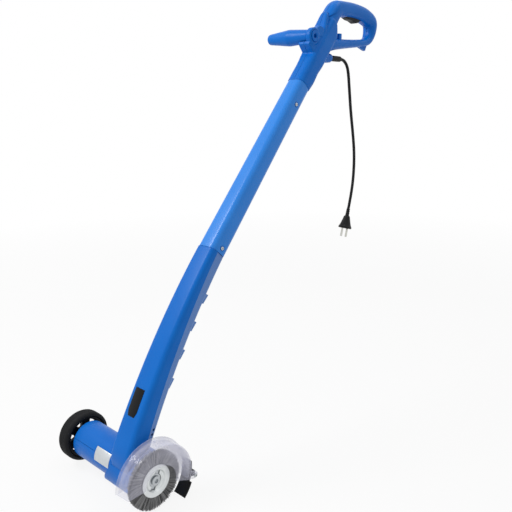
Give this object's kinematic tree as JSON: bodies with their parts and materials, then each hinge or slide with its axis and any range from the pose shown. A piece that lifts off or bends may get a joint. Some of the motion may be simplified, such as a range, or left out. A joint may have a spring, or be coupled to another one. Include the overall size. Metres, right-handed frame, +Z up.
{
  "type": "patio cleaner",
  "caption": "Hand-held electric patio cleaner: joint brush under a clear guard, motor, support wheel, bent tube, D-handle with trigger, side grip and cord.",
  "frame": {"origin": "middle of the D-handle's upper grip, where the machine is carried", "axes": "+Z up, +X along the brush spindle from the support wheel towards the brush, +Y back towards the operator"},
  "size_m": [0.2427, 0.7349, 0.8416],
  "materials": {
    "blue_plastic": "satin moulded",
    "blue_tube": "powder coated",
    "black_plastic": "moulded",
    "black_rubber": "matt",
    "tyre_rubber": "matt",
    "clear_plastic": "clear",
    "silver_foil": "printed foil, bare",
    "zinc_steel": "zinc plated",
    "grit_nylon": "abrasive nylon",
    "white_nylon": "moulded",
    "steel": "zinc plated",
    "copper": "wound copper",
    "brass": "plain",
    "nickel": "nickel plated"
  },
  "bodies": {
    "frame": {"front_shell": "blue_plastic", "rear_shell": "blue_plastic", "head_bottom_shell": "blue_plastic", "badge_plate": "black_plastic", "rating_plate": "silver_foil", "rear_screw_1": "steel", "rear_screw_2": "steel", "rear_screw_3": "steel", "rear_screw_4": "steel", "stator_core": "steel", "field_coil_1": "copper", "field_coil_2": "copper", "carbon_brush_1": "brass", "carbon_brush_2": "brass", "motor_bearing_rear": "steel", "motor_bearing_front": "steel", "gear_case": "white_nylon", "spindle_bearing": "steel", "brush_guard": "clear_plastic", "guard_flap": "black_rubber", "guard_screw": "steel", "wheel_axle": "steel", "upper_tube": "blue_tube", "tube_connector_lower": "black_plastic", "tube_connector_upper": "black_plastic", "tube_screw_1": "steel", "tube_screw_2": "steel", "handle_left_shell": "blue_plastic", "handle_right_shell": "blue_plastic", "handle_screw_1": "steel", "handle_screw_2": "steel", "handle_screw_3": "steel", "aux_grip": "blue_plastic", "aux_bolt": "steel", "trigger_pin": "steel", "switch_body": "black_plastic", "inner_loom": "black_rubber", "strain_relief": "black_rubber", "cord": "black_rubber", "plug_body": "black_rubber", "plug_pin_1": "nickel", "plug_pin_2": "nickel"},
    "brush": {"planet_carrier": "steel", "brush_disc": "zinc_steel", "bristle_ring": "grit_nylon", "brush_screw": "steel"},
    "rotor": {"rotor_shaft": "steel", "rotor_core": "steel", "commutator": "copper", "cooling_fan": "black_plastic"},
    "planet_1": {"planet_gear_1": "steel"},
    "planet_2": {"planet_gear_2": "steel"},
    "planet_3": {"planet_gear_3": "steel"},
    "wheel": {"wheel_hub": "black_plastic", "wheel_tyre": "tyre_rubber"},
    "trigger": {"trigger": "black_plastic"},
    "plunger": {"switch_plunger": "white_nylon"}
  },
  "joints": [
    {"name": "brush_spin", "type": "hinge", "parent": "frame", "child": "brush", "pos_m": [0.045, -0.58, -0.776], "axis": [1, 0, 0], "continuous": true},
    {"name": "rotor_spin", "type": "hinge", "parent": "frame", "child": "rotor", "pos_m": [-0.09, -0.58, -0.776], "axis": [1, 0, 0], "continuous": true},
    {"name": "planet_1_spin", "type": "hinge", "parent": "brush", "child": "planet_1", "pos_m": [-0.028, -0.5632, -0.776], "axis": [1, 0, 0], "continuous": true},
    {"name": "planet_2_spin", "type": "hinge", "parent": "brush", "child": "planet_2", "pos_m": [-0.028, -0.5884, -0.76145], "axis": [1, 0, 0], "continuous": true},
    {"name": "planet_3_spin", "type": "hinge", "parent": "brush", "child": "planet_3", "pos_m": [-0.028, -0.5884, -0.79055], "axis": [1, 0, 0], "continuous": true},
    {"name": "wheel_spin", "type": "hinge", "parent": "frame", "child": "wheel", "pos_m": [-0.1625, -0.58, -0.776], "axis": [1, 0, 0], "continuous": true},
    {"name": "trigger_pull", "type": "hinge", "parent": "frame", "child": "trigger", "pos_m": [0, -0.019, -0.009], "axis": [1, 0, 0], "range_deg": [0, 5], "stiffness_Nm_per_rad": 0.6, "springref_deg": -6.88},
    {"name": "plunger_slide", "type": "slide", "parent": "frame", "child": "plunger", "axis": [0, 0, 1], "range_m": [0, 0.0034]}
  ],
  "couplings": [
    {"joint": "rotor_spin", "follows": "brush_spin", "ratio": 4},
    {"joint": "planet_1_spin", "follows": "brush_spin", "ratio": -3},
    {"joint": "planet_2_spin", "follows": "brush_spin", "ratio": -3},
    {"joint": "planet_3_spin", "follows": "brush_spin", "ratio": -3},
    {"joint": "plunger_slide", "follows": "trigger_pull", "m_per_rad": 0.037}
  ]
}
